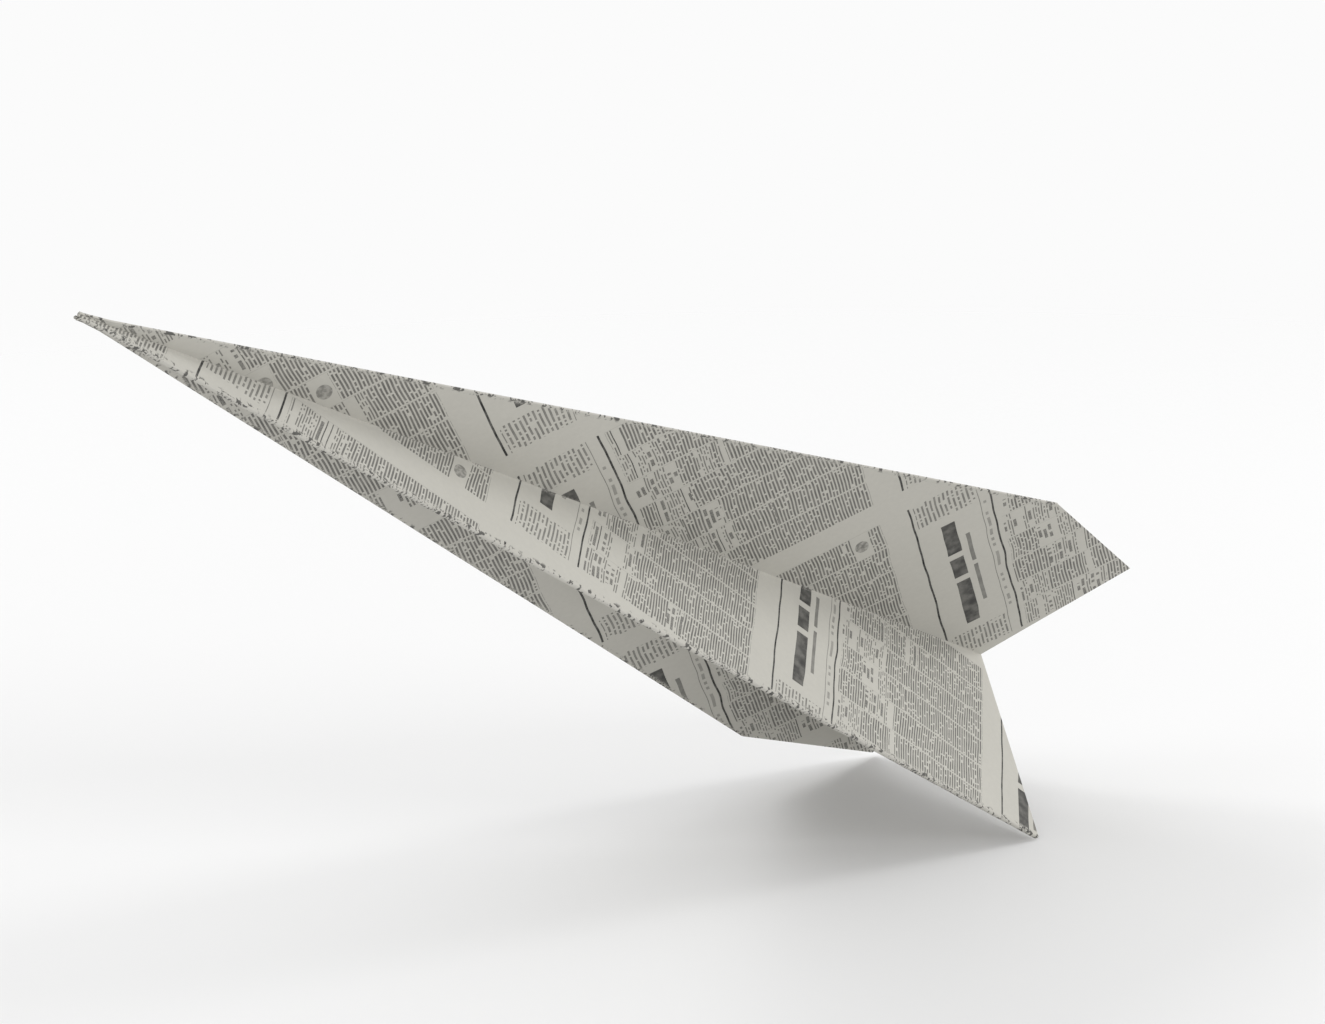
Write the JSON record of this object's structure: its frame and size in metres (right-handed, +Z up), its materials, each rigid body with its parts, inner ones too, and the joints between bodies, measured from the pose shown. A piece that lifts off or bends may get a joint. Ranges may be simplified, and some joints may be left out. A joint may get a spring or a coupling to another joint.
{
  "type": "paper airplane",
  "caption": "Folded paper dart with a pointed nose, a slim triangular keel and two swept wings that hinge on their folds, printed like newsprint.",
  "frame": {"origin": "where two fingers pinch the keel to hold or throw the dart: in its middle plane, 160 mm behind the nose point and 16 mm under the wings' hinge lines", "axes": "+Z up with the wings level, -Y along the flight direction towards the nose, +X towards the plane's own left wing tip"},
  "size_m": [0.108, 0.308, 0.0586],
  "materials": {
    "newsprint": "matt uncoated paper with dark grey print"
  },
  "bodies": {
    "left_keel": {"left_keel_main": "newsprint", "left_keel_corner_inner": "newsprint", "left_keel_corner_outer": "newsprint", "left_keel_side_flap": "newsprint", "centre_crease": "newsprint", "left_wing_crease": "newsprint", "left_corner_fold": "newsprint"},
    "left_wing": {"left_wing_main": "newsprint", "left_wing_corner_inner": "newsprint", "left_wing_corner_outer": "newsprint", "left_wing_side_flap": "newsprint", "left_leading_fold": "newsprint", "left_corner_leading_fold": "newsprint"},
    "right_keel": {"right_keel_main": "newsprint", "right_keel_corner_inner": "newsprint", "right_keel_corner_outer": "newsprint", "right_keel_side_flap": "newsprint", "right_wing_crease": "newsprint", "right_corner_fold": "newsprint"},
    "right_wing": {"right_wing_main": "newsprint", "right_wing_corner_inner": "newsprint", "right_wing_corner_outer": "newsprint", "right_wing_side_flap": "newsprint", "right_leading_fold": "newsprint", "right_corner_leading_fold": "newsprint"}
  },
  "joints": [
    {"name": "left_wing_fold", "type": "hinge", "parent": "left_keel", "child": "left_wing", "pos_m": [0.00057, 0, 0.016], "axis": [0, -1, 0], "range_deg": [-90, 90]},
    {"name": "right_wing_fold", "type": "hinge", "parent": "right_keel", "child": "right_wing", "pos_m": [-0.00057, 0, 0.016], "axis": [0, 1, 0], "range_deg": [-90, 90]},
    {"name": "keel_spread", "type": "hinge", "parent": "left_keel", "child": "right_keel", "pos_m": [0, -0.16, 0.016], "axis": [0, -0.9808, 0.1951], "range_deg": [0, 170]}
  ]
}
